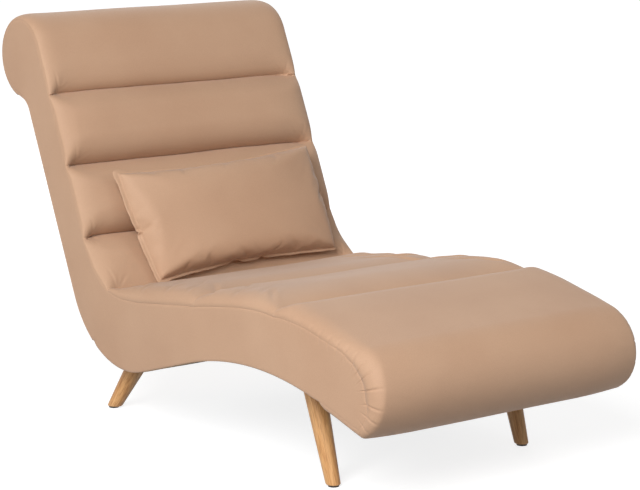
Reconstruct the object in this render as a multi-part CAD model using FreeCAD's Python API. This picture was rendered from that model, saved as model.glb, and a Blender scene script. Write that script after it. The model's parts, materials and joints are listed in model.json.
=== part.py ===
import FreeCAD, Part
import math
import os

# A chaise longue with a rolled head, sewn channels and a round foot bolster.
# X runs across the seat, Y from the foot end (-Y) to the back (+Y), Z up.
# The origin is on the floor, under the middle of the object's box. Millimetres.

# Overall sizes
overall_width = 730.0
overall_length = 1512.0
overall_height = 931.0

# Profile of the upholstery: a belt round these rollers, as seen from the side. A reach is
# measured inwards along the floor, from the foot end or from the head end.
head_radius = 100.0
nose_radius = 95.0
nose_centre_height = 256.0
hollow_radius = 150.0
hollow_head_reach = 539.0
hollow_height = 326.0
hump_radius = 900.0
hump_foot_reach = 406.0
hump_height = 397.0
arch_radius = 900.0
arch_foot_reach = 428.0
arch_height = 237.5
heel_radius = 250.0
heel_head_reach = 556.0
heel_height = 129.0
neck_radius = 46.0
neck_setback = 12.0
neck_gap = 3.0
toe_radius = 12.0
toe_angle = 246.5
toe_slack = 1.0

# Depths under the upholstery line: of the sewn pads, then of the frame's edge
pad_depth_nose = 48.0
pad_depth_seat = 45.0
pad_depth_hollow = 40.0
pad_depth_head = 30.0
frame_depth_nose = 60.0
frame_depth_seat = 65.0
frame_depth_hollow = 62.0
frame_depth_head = 39.0
inner_toe_radius = 10.0
inner_toe_setback = -5.0
inner_toe_drop = 42.0
cover_thickness = 3.0
underside_thickness = 1.0
side_cover_thickness = 12.0
layer_gap = 0.2
rear_cover_split = 36.0

# Lengths of the sewn pads along the upholstery line. The crease, between back and seat, lies
# its lead before the hollow's lowest point; the head pad takes what the channels leave.
head_pad_tail = 28.0
crease_lead = 46.0
upper_channel = 180.0
middle_channel = 181.0
lower_channel = 134.0
seat_panel_length = 351.0
seat_channel_length = 310.0
bolster_end_foot_reach = 196.0

# How far each pad's crest stands over the upholstery line
crests = {"head_roll_pad": 3.0, "upper_back_channel": -1.0, "middle_back_channel": -3.5,
          "lower_back_channel": -1.0, "seat_panel": 4.5, "seat_channel": 3.5, "foot_bolster": 7.0}

# Sewn form: how deep the grooves are, and how the top falls to the side seam
groove_depth = 17.0
crease_depth = 26.0
groove_reach = 62.0
seam_groove_depth = 6.0
crown_reach = 44.0
pad_root = 14.0
pad_step = 110.0
crown_steps = (0.0, 0.06, 0.2, 0.45, 1.0)
crown_fullness = 2.6

# Frame
plywood = 18.0
rail_thickness = 25.0
rail_clearance = 15.0
back_rail_height = 40.0
seat_rail_height = 60.0
hollow_rail_gap = 7.0
head_rail_height = 80.0
foot_rail_thickness = 24.0
foot_rail_height = 74.0
foot_rail_setback = 3.0
foot_rail_drop = 9.0
leg_rail_thickness = 28.0
leg_rail_width = 110.0
leg_seat_depth = 12.0
seat_rail_foot_reach = 606.0
lower_back_rail_height = 445.0
upper_back_rail_height = 640.0
corner_block = 36.0
corner_block_height = 30.0

# Suspension and soft layers
strap_width = 60.0
strap_thickness = 2.0
felt_thickness = 2.0
seat_strap_count = 6
back_strap_count = 4
seat_strap_pitch = 118.0
back_strap_pitch = 92.0
strap_start = 90.0

# Fasteners
screw_length = 50.0
screw_shank = 4.5
screw_head = 9.0
screw_head_depth = 3.5
bolt_diameter = 8.0
bolt_in_leg = 32.0
bolt_above_rail = 6.0
bolt_clearance = 0.1
tee_flange = 22.0
tee_flange_thickness = 1.6
tee_barrel = 10.0
tee_barrel_length = 10.0

# Legs
leg_top_diameter = 53.0
leg_foot_diameter = 32.0
front_foot_offset = 268.0
front_foot_reach = 281.0
front_leg_rise = (0.0, 0.337)
rear_foot_offset = 293.0
rear_foot_head_reach = 389.0
rear_leg_rise = (-0.25, -0.56)
leg_overrun = 40.0
leg_hole_clearance = 1.5
glide_diameter = 24.0
glide_height = 4.0
glide_pin = 4.0
glide_pin_length = 14.0

# Lumbar cushion
cushion_width = 560.0
cushion_height = 280.0
cushion_front_crown = 60.0
cushion_back_crown = 47.0
cushion_draw_in = 13.0
cushion_corner_pull = 2.1
cushion_corner_rise = 0.8
cushion_roll = 2.0
cushion_lean = 65.5
cushion_from_crease = (13.6, 50.7, 119.8)
cushion_cover_thickness = 1.2
cushion_crown_steps = (0.0, 0.16, 0.4, 0.7, 0.93)
cushion_edge_inset = 74.0
cushion_edge_slope = 0.35

# Lengths and areas under this count as nothing
tiny = 1e-3

# Derived places
half_width = overall_width / 2
inner_half = half_width - side_cover_thickness
rail_half = inner_half - plywood
foot_end = -overall_length / 2
head_end = overall_length / 2
nose_setback = foot_end + nose_radius + crests["foot_bolster"]
head_setback = head_end - head_radius - crests["head_roll_pad"]
head_centre_height = overall_height - head_radius - crests["head_roll_pad"]
neck_height = head_centre_height - head_radius - neck_radius - neck_gap
hollow_setback = head_end - hollow_head_reach
heel_setback = head_end - heel_head_reach
hump_setback = foot_end + hump_foot_reach
arch_setback = foot_end + arch_foot_reach


def vector(x, point):
    return FreeCAD.Vector(x, point[0], point[1])


def shifted(point, heading, ahead, out):
    """A point of the side view, moved along the heading and out to its right."""
    y = point[0] + ahead * math.cos(heading) + out * math.sin(heading)
    z = point[1] + ahead * math.sin(heading) - out * math.cos(heading)
    return (y, z)


# A belt is a closed outline, walked with the body on its left. Each of its runs is
# (start, heading, bend, length): bend is 1/radius, plus for a left turn, 0 for a line.
def belt(rollers):
    count = len(rollers)
    headings = []
    for index in range(count):
        y0, z0, signed0 = rollers[index]
        y1, z1, signed1 = rollers[(index + 1) % count]
        apart = math.hypot(y1 - y0, z1 - z0)
        direct = math.atan2(z1 - z0, y1 - y0)
        headings.append(direct - math.asin((signed1 - signed0) / apart))
    runs = []
    for index in range(count):
        y, z, signed = rollers[index]
        arrive = headings[index - 1]
        leave = headings[index]
        sweep = (leave - arrive) % (2 * math.pi)
        if signed < 0:
            sweep -= 2 * math.pi
        start = shifted((y, z), arrive, 0, signed)
        end = shifted((y, z), leave, 0, signed)
        runs.append((start, arrive, 1 / signed, abs(signed * sweep)))
        next_y, next_z, next_signed = rollers[(index + 1) % count]
        landing = shifted((next_y, next_z), leave, 0, next_signed)
        runs.append((end, leave, 0.0, math.dist(end, landing)))
    return runs


def along(run, distance):
    """Point and heading at a distance along one run."""
    start, heading, bend, _ = run
    if bend == 0.0:
        return shifted(start, heading, distance, 0), heading
    centre = shifted(start, heading, 0, -1 / bend)
    turned = heading + bend * distance
    return shifted(centre, turned, 0, 1 / bend), turned


def locate(path, station, out=0.0):
    """Point on a belt at a distance from its start, moved outwards."""
    for run in path:
        if station <= run[3]:
            break
        station -= run[3]
    point, heading = along(run, station)
    return shifted(point, heading, 0, out), heading


def nearest(path, point):
    """Station on a belt that lies nearest to a point."""
    best = (math.inf, 0.0)
    passed = 0.0
    for start, heading, bend, length in path:
        if bend == 0.0:
            reach = (point[0] - start[0]) * math.cos(heading) + (point[1] - start[1]) * math.sin(heading)
        else:
            centre = shifted(start, heading, 0, -1 / bend)
            side = math.copysign(1.0, bend)
            polar = math.atan2(side * (point[0] - centre[0]), -side * (point[1] - centre[1]))
            turn = (polar - heading) * side % (2 * math.pi)
            reach = turn / abs(bend)
            if turn > math.pi + length * abs(bend) / 2:
                reach = 0.0
        reach = min(max(reach, 0.0), length)
        candidate, _ = along((start, heading, bend, length), reach)
        best = min(best, (math.dist(candidate, point), passed + reach))
        passed += length
    return best[1]


def run_edges(path, first, last, out=0.0, x=0.0):
    """Edges of a belt between two stations, moved outwards by a fixed amount."""
    edges = []
    passed = 0.0
    for run in path:
        low = max(first - passed, 0.0)
        high = min(last - passed, run[3])
        passed += run[3]
        if high - low < tiny:
            continue
        points = []
        for distance in (low, (low + high) / 2, high):
            point, heading = along(run, distance)
            points.append(vector(x, shifted(point, heading, 0, out)))
        if run[2] == 0.0:
            edges.append(Part.LineSegment(points[0], points[2]).toShape())
        else:
            edges.append(Part.Arc(*points).toShape())
    return edges


def path_length(path):
    return sum(run[3] for run in path)


def solid_across(edges, low_x, high_x):
    """Solid between two planes across the seat, from the edges of its side view."""
    wire = Part.Wire(Part.__sortEdges__(edges))
    face = Part.Face(wire)
    face.translate(FreeCAD.Vector(low_x, 0, 0))
    return face.extrude(FreeCAD.Vector(high_x - low_x, 0, 0))


def closed_run(outer_edges, inner_edges):
    """Edges of a strip: its outer side, its inner side and the two ends that join them."""
    outer_start = outer_edges[0].firstVertex().Point
    outer_end = outer_edges[-1].lastVertex().Point
    inner_start = inner_edges[0].firstVertex().Point
    inner_end = inner_edges[-1].lastVertex().Point
    ends = [Part.LineSegment(outer_start, inner_start).toShape()]
    ends.append(Part.LineSegment(outer_end, inner_end).toShape())
    return outer_edges + inner_edges + ends


def strip(path, first, last, low, high, half):
    """Strip along a belt, between two distances outwards from it."""
    edges = closed_run(run_edges(path, first, last, high), run_edges(path, first, last, low))
    return solid_across(edges, -half, half)


def board(point, heading, width, low, high, x0, x1):
    """Board lying along a heading, from low to high on the left of it."""
    corners = []
    for ahead, out in ((-width / 2, -low), (width / 2, -low), (width / 2, -high), (-width / 2, -high)):
        corners.append(vector(x0, shifted(point, heading, ahead, out)))
    face = Part.Face(Part.makePolygon(corners + corners[:1]))
    return face.extrude(FreeCAD.Vector(x1 - x0, 0, 0))


def cylinder(diameter, length, base, direction):
    return Part.makeCylinder(diameter / 2, length, base, direction)


# The outer outline, and the same belt drawn in under the pads and down to the frame
def outline(nose_in, seat_in, hollow_in, head_in, under_in):
    nose = nose_radius - nose_in
    toe_reach = nose_radius - toe_radius + toe_slack
    toe_direction = math.radians(toe_angle)
    toe = (nose_setback + toe_reach * math.cos(toe_direction),
           nose_centre_height + toe_reach * math.sin(toe_direction),
           toe_radius)
    if nose_in > 0:
        toe = (nose_setback + inner_toe_setback,
               nose_centre_height - inner_toe_drop,
               inner_toe_radius - under_in)
    return belt([
        (heel_setback, heel_height + heel_radius, heel_radius - under_in),
        (head_setback + neck_setback, neck_height, -neck_radius - under_in),
        (head_setback, head_centre_height, head_radius - head_in),
        (hollow_setback, hollow_height + hollow_radius, -hollow_radius - hollow_in),
        (hump_setback, hump_height - hump_radius, hump_radius - seat_in),
        (nose_setback, nose_centre_height, nose),
        toe,
        (arch_setback, arch_height - arch_radius, -arch_radius - under_in),
    ])


surface = outline(0, 0, 0, 0, 0)
pad_line = outline(pad_depth_nose, pad_depth_seat, pad_depth_hollow, pad_depth_head, 0)
frame_line = outline(frame_depth_nose, frame_depth_seat, frame_depth_hollow, frame_depth_head,
                     cover_thickness)

# Stations of the seams between pads, from the neck over the head and down to the foot
neck_station = sum(run[3] for run in surface[:3])
pad_stations = [nearest(surface, (hollow_setback, hollow_height)) - crease_lead]
for pad_length in (lower_channel, middle_channel, upper_channel):
    pad_stations.insert(0, pad_stations[0] - pad_length)
pad_stations.insert(0, neck_station + head_pad_tail)
for pad_length in (seat_panel_length, seat_channel_length):
    pad_stations.append(pad_stations[-1] + pad_length)
bolster_end = nearest(surface, (foot_end + bolster_end_foot_reach, arch_height))
pad_stations.append(bolster_end)
pad_names = ["head_roll_pad", "upper_back_channel", "middle_back_channel", "lower_back_channel",
             "seat_panel", "seat_channel", "foot_bolster"]

# The side seam's depth under the crest, by station
nose_station = nearest(surface, (nose_setback - nose_radius, nose_centre_height))
toe_station = nearest(surface, (nose_setback, nose_centre_height - nose_radius - toe_radius))
seam_drops = [(pad_stations[0], 8.0), (pad_stations[0] + head_radius, 14.0), (pad_stations[1], 11.0),
              (pad_stations[3], 12.0), (pad_stations[4], 14.0), (pad_stations[5] - 90.0, 30.0),
              (pad_stations[6], 27.0), (nose_station - 2 * nose_radius, 23.0), (nose_station, 36.0),
              (toe_station, 8.0), (bolster_end, 1.5)]


def seam_drop(station):
    before = seam_drops[0]
    for after in seam_drops[1:]:
        if station <= after[0]:
            share = (station - before[0]) / (after[0] - before[0])
            return before[1] + max(share, 0.0) * (after[1] - before[1])
        before = after
    return before[1]


def pad_height(name, station, first, last, crown):
    """Height of a pad over the upholstery line: crown is 0 at the side seam, 1 inboard."""
    crest = crests[name]
    edge = math.inf
    if name != "head_roll_pad":
        edge = station - first
    if name != "foot_bolster":
        edge = min(edge, last - station)
    fall = max(1 - edge / groove_reach, 0.0) ** 2
    at_crease = abs(station - pad_stations[4]) < groove_reach
    depth = crease_depth if at_crease else groove_depth
    middle = crest - (crest + depth) * fall
    seam = -seam_drop(station) - seam_groove_depth * fall
    return seam + (middle - seam) * crown


def arc_chain(points, x):
    """Arcs through each three points in turn."""
    edges = []
    for index in range(0, len(points) - 2, 2):
        a, b, c = (vector(x, point) for point in points[index:index + 3])
        if (b - a).cross(c - b).Length < tiny:
            edges.append(Part.LineSegment(a, c).toShape())
        else:
            edges.append(Part.Arc(a, b, c).toShape())
    return edges


def pad_spread(first, last):
    """Stations of a pad's outline: close together near its seams."""
    steps = [first + groove_reach * share for share in (0.0, 0.25, 0.5, 0.75)]
    inner = last - first - 2 * groove_reach
    count = 2 * max(1, round(inner / pad_step))
    steps += [first + groove_reach + inner * index / count for index in range(count + 1)]
    steps += [last - groove_reach * share for share in (0.75, 0.5, 0.25, 0.0)]
    return steps


def pad_roots(name, steps):
    """Inner line of a pad's section, inside the core. In a roll it goes by the roll's centre."""
    centres = {"head_roll_pad": (head_setback, head_centre_height),
               "foot_bolster": (nose_setback, nose_centre_height)}
    depths = {"head_roll_pad": pad_depth_head, "foot_bolster": pad_depth_nose}
    root = depths.get(name, pad_depth_seat) + pad_root
    line = [locate(surface, step, -root)[0] for step in steps]
    if name in centres:
        return [line[0], centres[name], line[-1]]
    return line


def pad_section(name, first, last, crown, x):
    steps = pad_spread(first, last)
    outer = [locate(surface, step, pad_height(name, step, first, last, crown))[0] for step in steps]
    inner = [vector(x, point) for point in pad_roots(name, steps)]
    root_edges = [Part.LineSegment(a, b).toShape() for a, b in zip(inner, inner[1:])]
    edges = closed_run(arc_chain(outer, x), root_edges)
    return Part.Wire(Part.__sortEdges__(edges))


def sewn_pad(name, first, last, core):
    sections = []
    stations = [(half_width - crown_reach * share, share) for share in crown_steps]
    for x, share in [(-x, share) for x, share in stations] + stations[::-1]:
        crown = (1 - (1 - share) ** crown_fullness) ** (1 / crown_fullness)
        sections.append(pad_section(name, first, last, crown, x))
    return Part.makeLoft(sections, True, True).cut(core)


def core_solid():
    edges = run_edges(pad_line, 0.0, path_length(pad_line), layer_gap)
    return solid_across(edges, -overall_width, overall_width)


def side_cover(side):
    edges = run_edges(pad_line, 0.0, path_length(pad_line))
    return solid_across(edges, *sorted((side * inner_half, side * half_width)))


def rear_cover():
    split = nearest(surface, (heel_setback + heel_radius * math.sin(math.radians(rear_cover_split)), heel_height))
    last = pad_stations[0]
    outer = run_edges(surface, split, last)
    inner_last = nearest(pad_line, locate(surface, last)[0])
    inner = run_edges(pad_line, split, inner_last, layer_gap - cover_thickness)
    return solid_across(closed_run(outer, inner), -inner_half, inner_half)


def underside_cover(holes):
    split = nearest(pad_line, (heel_setback + heel_radius * math.sin(math.radians(rear_cover_split)), heel_height))
    front = nearest(pad_line, locate(surface, bolster_end)[0])
    length = path_length(pad_line)
    low = layer_gap - cover_thickness
    high = low + underside_thickness
    outer = run_edges(pad_line, front, length, high) + run_edges(pad_line, 0.0, split, high)
    inner = run_edges(pad_line, front, length, low) + run_edges(pad_line, 0.0, split, low)
    sheet = solid_across(closed_run(outer, inner), -inner_half, inner_half)
    return sheet.cut(holes)


def side_frame(side):
    edges = run_edges(frame_line, 0.0, path_length(frame_line))
    return solid_across(edges, *sorted((side * rail_half, side * inner_half)))


# A rail is (point, heading, width along the heading, low and high reach to its left)
def upright_rail(station, height):
    """A board on edge under the frame's top line."""
    point, heading = locate(frame_line, station)
    return point, heading, rail_thickness, rail_clearance, rail_clearance + height


def leg_seat(rise, foot_setback):
    """Where a leg's axis meets the plane that it is screwed to, and that plane's heading."""
    height = 0.0
    for _ in range(8):
        station = nearest(surface, (foot_setback + rise[1] * height, height))
        point, heading = locate(surface, station, -leg_seat_depth)
        height = point[1]
    return point, heading


def reach_down(point, heading, plane_point, plane_heading):
    """Distance from a point, to the left of its heading, down to a slanting plane."""
    down = (-math.sin(heading), math.cos(heading))
    normal = (-math.sin(plane_heading), math.cos(plane_heading))
    apart = (plane_point[0] - point[0]) * normal[0] + (plane_point[1] - point[1]) * normal[1]
    return apart / (down[0] * normal[0] + down[1] * normal[1])


def rail_places():
    front_point, front_heading = leg_seat(front_leg_rise, foot_end + front_foot_reach)
    rear_point, rear_heading = leg_seat(rear_leg_rise, head_end - rear_foot_head_reach)
    foot_point = (nose_setback + foot_rail_setback, nose_centre_height - foot_rail_drop)
    head_point = (head_setback, head_centre_height)
    seat_station = nearest(frame_line, (foot_end + seat_rail_foot_reach, hump_height))
    hollow_station = nearest(frame_line, (hollow_setback, hollow_height))
    leg_rail_top = shifted(rear_point, rear_heading, 0, -leg_rail_thickness)
    room = reach_down(*locate(frame_line, hollow_station), leg_rail_top, rear_heading)
    hollow_rail_height = room - rail_clearance - hollow_rail_gap
    lower_station = nearest(frame_line, (hollow_setback + hollow_radius, lower_back_rail_height))
    upper_station = nearest(frame_line, (head_setback - 2 * head_radius, upper_back_rail_height))
    level = 0.0
    return {
        "foot_rail": (foot_point, level, foot_rail_thickness, -foot_rail_height / 2, foot_rail_height / 2),
        "front_leg_rail": (front_point, front_heading, leg_rail_width, 0.0, leg_rail_thickness),
        "seat_rail": upright_rail(seat_station, seat_rail_height),
        "hollow_rail": upright_rail(hollow_station, hollow_rail_height),
        "rear_leg_rail": (rear_point, rear_heading, leg_rail_width, 0.0, leg_rail_thickness),
        "lower_back_rail": upright_rail(lower_station, back_rail_height),
        "upper_back_rail": upright_rail(upper_station, back_rail_height),
        "head_rail": (head_point, level, rail_thickness, -head_rail_height / 2, head_rail_height / 2),
    }


def screw(x_side, point):
    """Countersunk screw driven inwards through a side frame, its head flush outside."""
    inwards = FreeCAD.Vector(-x_side, 0, 0)
    base = vector(x_side * inner_half, point)
    head = Part.makeCone(screw_head / 2, screw_shank / 2, screw_head_depth, base, inwards)
    return head.fuse(cylinder(screw_shank, screw_length, base, inwards))


def rail_screws(rail):
    """Two screws at each end of a rail, a quarter of its longer side from its middle."""
    point, heading, width, low, high = rail
    middle = (low + high) / 2
    if width > high - low:
        spots = [shifted(point, heading, width * share, -middle) for share in (-0.25, 0.25)]
    else:
        spots = [shifted(point, heading, 0, -middle - (high - low) * share) for share in (-0.25, 0.25)]
    return [screw(side, spot) for side in (-1, 1) for spot in spots]


def head_former():
    """Bent plywood round the side frames' head discs, from the front to the back of the roll."""
    start = sum(run[3] for run in frame_line[:4])
    outer_radius = frame_depth_head - pad_depth_head
    last = start + frame_line[4][3]
    return strip(frame_line, start, last, layer_gap, outer_radius - layer_gap, inner_half)


def head_rib(rail):
    centre = vector(-plywood / 2, (head_setback, head_centre_height))
    disc = cylinder(2 * (head_radius - frame_depth_head), plywood, centre, FreeCAD.Vector(1, 0, 0))
    return disc.cut(rail)


# Suspension: straps on the frame's top edge, felt over them, foam up to the sewn pads
head_front = sum(run[3] for run in frame_line[:5])
crease_station = nearest(frame_line, locate(surface, pad_stations[4])[0])
nose_frame_station = nearest(frame_line, (nose_setback - nose_radius, nose_centre_height))


def strap(station):
    low, high = station - strap_width / 2, station + strap_width / 2
    return strip(frame_line, low, high, layer_gap, strap_thickness, inner_half)


def felt_layer():
    high = strap_thickness + felt_thickness
    low = strap_thickness + layer_gap
    return strip(frame_line, head_front, nose_frame_station, low, high, inner_half)


def base_foam(first, last):
    """Foam between the felt and the sewn pads, between two stations of the frame's line."""
    over = strap_thickness + felt_thickness + layer_gap
    rise = frame_depth_head - pad_depth_head
    pad_first = nearest(pad_line, locate(frame_line, first, rise)[0])
    pad_last = nearest(pad_line, locate(frame_line, last, rise)[0])
    edges = closed_run(run_edges(pad_line, pad_first, pad_last), run_edges(frame_line, first, last, over))
    return solid_across(edges, -inner_half, inner_half)


# Legs
def leg_axis(side, front):
    """A leg's foot, the unit vector up its axis, its seat point and that seat's inward normal."""
    offset = front_foot_offset if front else rear_foot_offset
    setback = foot_end + front_foot_reach if front else head_end - rear_foot_head_reach
    rise = front_leg_rise if front else rear_leg_rise
    seat, heading = leg_seat(rise, setback)
    foot = FreeCAD.Vector(side * offset, setback, 0)
    up = FreeCAD.Vector(side * rise[0], rise[1], 1.0)
    seat_point = foot + up * seat[1]
    inward = FreeCAD.Vector(0, -math.sin(heading), math.cos(heading))
    return foot, up.normalize(), seat_point, inward


def beyond(point, normal):
    """A large block on the far side of a plane."""
    size = overall_width
    block = Part.makeBox(size, size, size, FreeCAD.Vector(-size / 2, -size / 2, 0))
    block.Placement = FreeCAD.Placement(point, FreeCAD.Rotation(FreeCAD.Vector(0, 0, 1), normal))
    return block


def leg_cone(side, front, extra):
    foot, up, seat, _ = leg_axis(side, front)
    length = (seat - foot).Length
    growth = (leg_top_diameter - leg_foot_diameter) / 2 / length
    low = foot - up * leg_overrun
    low_radius = leg_foot_diameter / 2 - growth * leg_overrun + extra
    high_radius = leg_top_diameter / 2 + growth * leg_overrun + extra
    return Part.makeCone(low_radius, high_radius, length + 2 * leg_overrun, low, up)


def glide(side, front):
    foot = leg_axis(side, front)[0]
    up = FreeCAD.Vector(0, 0, 1)
    disc = cylinder(glide_diameter, glide_height, foot, up)
    return disc.fuse(cylinder(glide_pin, glide_height + glide_pin_length, foot, up))


def hanger_bolt(side, front):
    _, _, seat, inward = leg_axis(side, front)
    length = bolt_in_leg + leg_rail_thickness + bolt_above_rail
    return cylinder(bolt_diameter, length, seat - inward * bolt_in_leg, inward)


def tee_nut(side, front):
    _, _, seat, inward = leg_axis(side, front)
    top = seat + inward * leg_rail_thickness
    nut = cylinder(tee_flange, tee_flange_thickness, top, inward)
    nut = nut.fuse(cylinder(tee_barrel, tee_barrel_length, top - inward * tee_barrel_length, inward))
    bore = bolt_diameter + 2 * bolt_clearance
    return nut.cut(cylinder(bore, 2 * leg_rail_thickness, seat, inward))


def leg(side, front):
    _, _, seat, inward = leg_axis(side, front)
    solid = leg_cone(side, front, 0.0).cut(beyond(seat, inward))
    down = FreeCAD.Vector(0, 0, -1)
    foot = leg_axis(side, front)[0]
    solid = solid.cut(beyond(FreeCAD.Vector(foot.x, foot.y, glide_height), down))
    return solid.cut(hanger_bolt(side, front)).cut(glide(side, front))


def leg_rail_holes(front):
    tools = []
    for side in (-1, 1):
        _, _, seat, inward = leg_axis(side, front)
        bore = bolt_diameter + 2 * bolt_clearance
        tools.append(cylinder(bore, leg_rail_thickness, seat, inward))
        barrel_base = seat + inward * (leg_rail_thickness - tee_barrel_length)
        tools.append(cylinder(tee_barrel, tee_barrel_length, barrel_base, inward))
    return tools


def corner_glue_block(side, rail):
    """Block in the corner between a leg rail and a side frame."""
    point, heading, _, low, high = rail
    ends = sorted((side * (rail_half - corner_block), side * rail_half))
    return board(point, heading, corner_block, high, high + corner_block_height, *ends)


# Lumbar cushion: outlines stacked from the seam to each crown, four arcs each
def cushion_outline(share, crown, shrink):
    """Closed outline at a share of a crown's height; its corners draw in faster than its sides."""
    fall = cushion_edge_slope * share + (1 - cushion_edge_slope) * (1 - math.sqrt(1 - share ** 2))
    side_in = cushion_edge_inset * fall + shrink
    corner_in = side_in * cushion_corner_pull
    half_w = cushion_width / 2
    half_h = cushion_height / 2
    corner = (half_w - corner_in, half_h - corner_in * cushion_corner_rise)
    middle = (half_w - cushion_draw_in - side_in, half_h - cushion_draw_in - side_in)
    level = share * crown
    ring = [(corner[0], corner[1]), (0.0, middle[1]), (-corner[0], corner[1]), (-middle[0], 0.0),
            (-corner[0], -corner[1]), (0.0, -middle[1]), (corner[0], -corner[1]), (middle[0], 0.0)]
    points = [FreeCAD.Vector(x, y, level) for x, y in ring]
    points.append(points[0])
    return Part.Wire([Part.Arc(*points[index:index + 3]).toShape() for index in (0, 2, 4, 6)])


def cushion_body(shrink):
    front = [cushion_outline(step, cushion_front_crown - shrink, shrink) for step in cushion_crown_steps]
    back = [cushion_outline(step, shrink - cushion_back_crown, shrink) for step in cushion_crown_steps]
    solid = Part.makeLoft(front, True, True).fuse(Part.makeLoft(back, True, True))
    lean = FreeCAD.Rotation(FreeCAD.Vector(1, 0, 0), cushion_lean)
    roll = FreeCAD.Rotation(FreeCAD.Vector(0, 0, 1), cushion_roll)
    crease, _ = locate(surface, pad_stations[4])
    centre = vector(0, crease) + FreeCAD.Vector(*cushion_from_crease)
    solid.Placement = FreeCAD.Placement(centre, lean.multiply(roll))
    return solid


def build():
    parts = {}
    rails = rail_places()
    bars = {}
    for name, rail in rails.items():
        bars[name] = board(*rail, -rail_half, rail_half)
    screws = [each for rail in rails.values() for each in rail_screws(rail)]
    for name, bar in bars.items():
        parts[name] = bar.cut(rail_screws(rails[name]))
    parts["front_leg_rail"] = parts["front_leg_rail"].cut(leg_rail_holes(True))
    parts["rear_leg_rail"] = parts["rear_leg_rail"].cut(leg_rail_holes(False))
    for side, word in ((-1, "left"), (1, "right")):
        parts["side_frame_" + word] = side_frame(side).cut(screws)
        parts["side_cover_" + word] = side_cover(side)
        for front, place in ((True, "front"), (False, "rear")):
            parts[f"{place}_leg_{word}"] = leg(side, front)
            parts[f"{place}_corner_block_{word}"] = corner_glue_block(side, rails[place + "_leg_rail"])
    parts["frame_screws"] = Part.makeCompound(screws)
    parts["head_former"] = head_former()
    parts["head_rib"] = head_rib(bars["head_rail"])

    corners = [(side, front) for side in (-1, 1) for front in (True, False)]
    parts["hanger_bolts"] = Part.makeCompound([hanger_bolt(*corner) for corner in corners])
    parts["tee_nuts"] = Part.makeCompound([tee_nut(*corner) for corner in corners])
    parts["foot_glides"] = Part.makeCompound([glide(*corner) for corner in corners])
    leg_holes = [leg_cone(side, front, leg_hole_clearance) for side, front in corners]
    parts["underside_cover"] = underside_cover(leg_holes)
    parts["rear_cover"] = rear_cover()

    for index in range(seat_strap_count):
        station = nose_frame_station - strap_start - index * seat_strap_pitch
        parts[f"seat_strap_{index + 1}"] = strap(station)
    for index in range(back_strap_count):
        station = head_front + strap_start / 2 + index * back_strap_pitch
        parts[f"back_strap_{index + 1}"] = strap(station)
    parts["felt_layer"] = felt_layer()
    parts["back_base_foam"] = base_foam(head_front, crease_station)
    parts["seat_base_foam"] = base_foam(crease_station, nose_frame_station)

    core = core_solid()
    for name, first, last in zip(pad_names, pad_stations, pad_stations[1:]):
        parts[name] = sewn_pad(name, first, last, core)

    filling = cushion_body(cushion_cover_thickness)
    parts["cushion_cover"] = cushion_body(0.0).cut(filling)
    parts["cushion_filling"] = filling
    return parts


def main():
    os.makedirs("parts", exist_ok=True)
    for name, shape in build().items():
        if not shape.isValid():
            print("not valid:", name)
        shape.exportStep(f"parts/{name}.step")


main()
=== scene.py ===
import json
import math

import bpy
import numpy as np
from mathutils import Matrix, Vector, geometry


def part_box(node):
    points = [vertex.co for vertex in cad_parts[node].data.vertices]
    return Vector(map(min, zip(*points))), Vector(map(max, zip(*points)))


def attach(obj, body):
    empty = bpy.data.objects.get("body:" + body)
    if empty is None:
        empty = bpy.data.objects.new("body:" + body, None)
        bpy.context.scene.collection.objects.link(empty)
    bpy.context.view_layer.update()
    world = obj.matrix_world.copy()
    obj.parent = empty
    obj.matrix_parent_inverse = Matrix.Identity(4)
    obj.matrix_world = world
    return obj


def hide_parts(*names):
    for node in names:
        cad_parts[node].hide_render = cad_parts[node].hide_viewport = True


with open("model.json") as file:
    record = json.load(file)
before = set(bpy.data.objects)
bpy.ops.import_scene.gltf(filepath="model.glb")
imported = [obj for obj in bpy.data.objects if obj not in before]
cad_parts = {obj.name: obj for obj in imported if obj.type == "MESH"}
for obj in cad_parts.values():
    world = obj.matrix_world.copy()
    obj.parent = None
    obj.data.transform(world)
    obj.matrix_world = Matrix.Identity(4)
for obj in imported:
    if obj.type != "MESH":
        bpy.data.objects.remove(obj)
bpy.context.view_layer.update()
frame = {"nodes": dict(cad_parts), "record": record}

# A chaise longue: a sewn cover over an S-shaped body, a loose lumbar cushion and oak legs.
# Metres. X across the seat, Y from the foot end to the back, Z up.
# A station is a distance along the belt, which runs from the heel up the outer back, over the
# head, down to the foot and back underneath. An edge distance is measured in from the nearer side.

# Overall sizes
WIDTH = 0.730
LENGTH = 1.512
HEIGHT = 0.931
HALF = WIDTH / 2

# Rollers of the side outline: a reach is measured from the nearer end, and a crest is the pad's
# height over its roller
HEAD_RADIUS = 0.100
HEAD_CREST = 0.003
NOSE_RADIUS = 0.095
NOSE_CREST = 0.007
NOSE_HEIGHT = 0.256
HOLLOW_RADIUS = 0.150
HOLLOW_HEIGHT = 0.326
HOLLOW_REACH = 0.539
HUMP_RADIUS = 0.900
HUMP_HEIGHT = 0.397
HUMP_REACH = 0.406
ARCH_RADIUS = 0.900
ARCH_HEIGHT = 0.2375
ARCH_REACH = 0.428
HEEL_RADIUS = 0.250
HEEL_HEIGHT = 0.129
HEEL_REACH = 0.556
NECK_RADIUS = 0.046
NECK_SETBACK = 0.012
NECK_GAP = 0.003
TOE_RADIUS = 0.012
TOE_ANGLE = 246.5
TOE_SLACK = 0.001

NOSE_Y = -LENGTH / 2 + NOSE_RADIUS + NOSE_CREST
HEAD_Y = LENGTH / 2 - HEAD_RADIUS - HEAD_CREST
HEAD_Z = HEIGHT - HEAD_RADIUS - HEAD_CREST


# The outline as a belt round the rollers, walked with the body on its left
def shifted(point, heading, ahead, out):
    y = point[0] + ahead * math.cos(heading) + out * math.sin(heading)
    z = point[1] + ahead * math.sin(heading) - out * math.cos(heading)
    return (y, z)


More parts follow.
